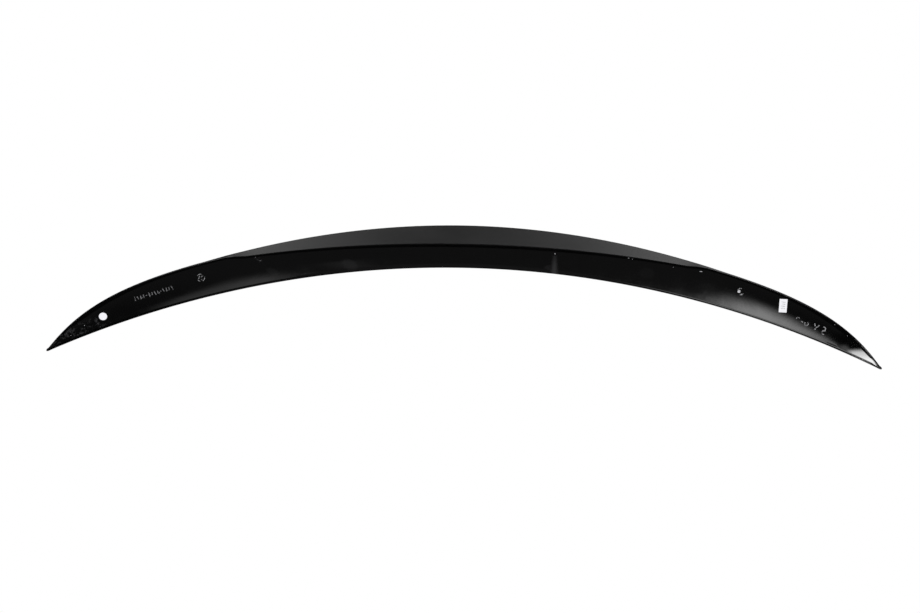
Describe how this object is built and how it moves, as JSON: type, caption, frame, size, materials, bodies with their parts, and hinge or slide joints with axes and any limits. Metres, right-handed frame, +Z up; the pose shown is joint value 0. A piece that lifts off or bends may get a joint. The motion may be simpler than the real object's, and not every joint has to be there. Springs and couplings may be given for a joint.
{
  "type": "car rear lip spoiler",
  "caption": "Glossy black boot-lid lip spoiler, moulded in one piece: a long crescent flange with a raised rear lip, a rimmed underside for bonding, and paper stickers on it.",
  "frame": {"origin": "middle of the bonding face on the underside, halfway between its front edge and the crease, on the car's centre line", "axes": "+X across the car to the picture's right, +Y towards the front of the car, +Z up; the bonding face looks down"},
  "size_m": [1.18, 0.1748, 0.0797],
  "materials": {
    "body": "gloss black moulding, satin on the rear face",
    "label": "matt white printed paper",
    "sticker": "matt white paper"
  },
  "bodies": {
    "root": {"spoiler": "body", "paper_label": "label", "round_sticker": "sticker"}
  },
  "joints": []
}
